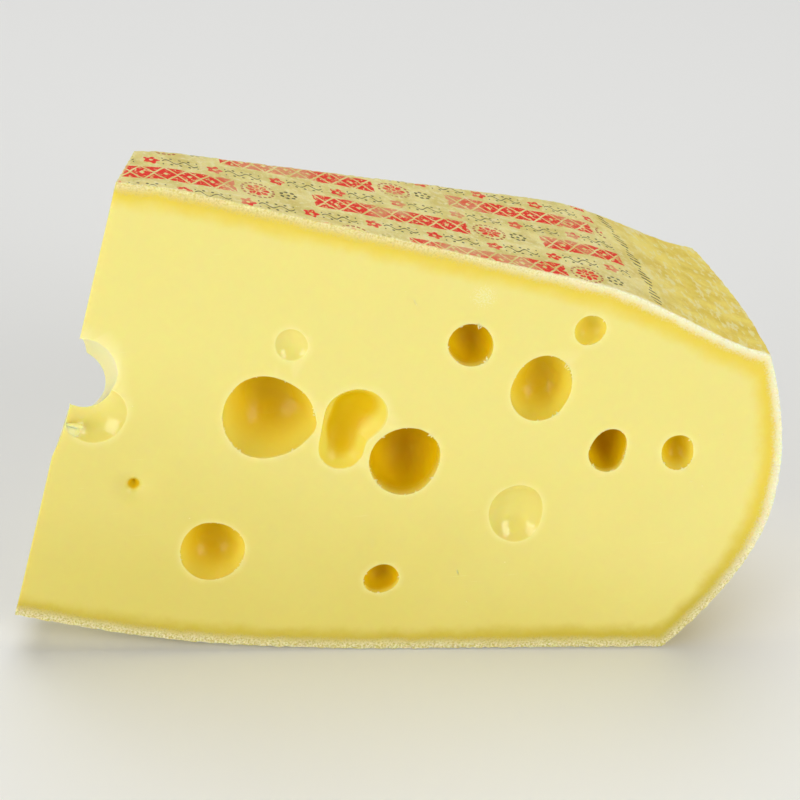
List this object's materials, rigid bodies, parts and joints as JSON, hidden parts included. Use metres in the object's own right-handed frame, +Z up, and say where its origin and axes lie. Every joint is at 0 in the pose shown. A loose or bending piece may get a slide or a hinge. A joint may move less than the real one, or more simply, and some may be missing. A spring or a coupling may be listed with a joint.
{
  "type": "cheese wedge",
  "caption": "Upright wedge of large-holed hard cheese with domed rinds above and below, a bulged rind heel, a trimmed tip and round eyes in its cut faces.",
  "frame": {"origin": "centre of the bounding box's foot, on the surface that the wedge rests on", "axes": "+Z up as it rests, +X from the trimmed tip towards the rind heel, +Y from the front cut face towards the back cut face"},
  "size_m": [0.329, 0.114, 0.2211],
  "materials": {
    "cheese_wedge": "smooth pale yellow cheese paste, slightly waxy, with a dry beige rind above, below and at the heel"
  },
  "bodies": {
    "root": {"cheese_wedge": "cheese_wedge"}
  },
  "joints": []
}
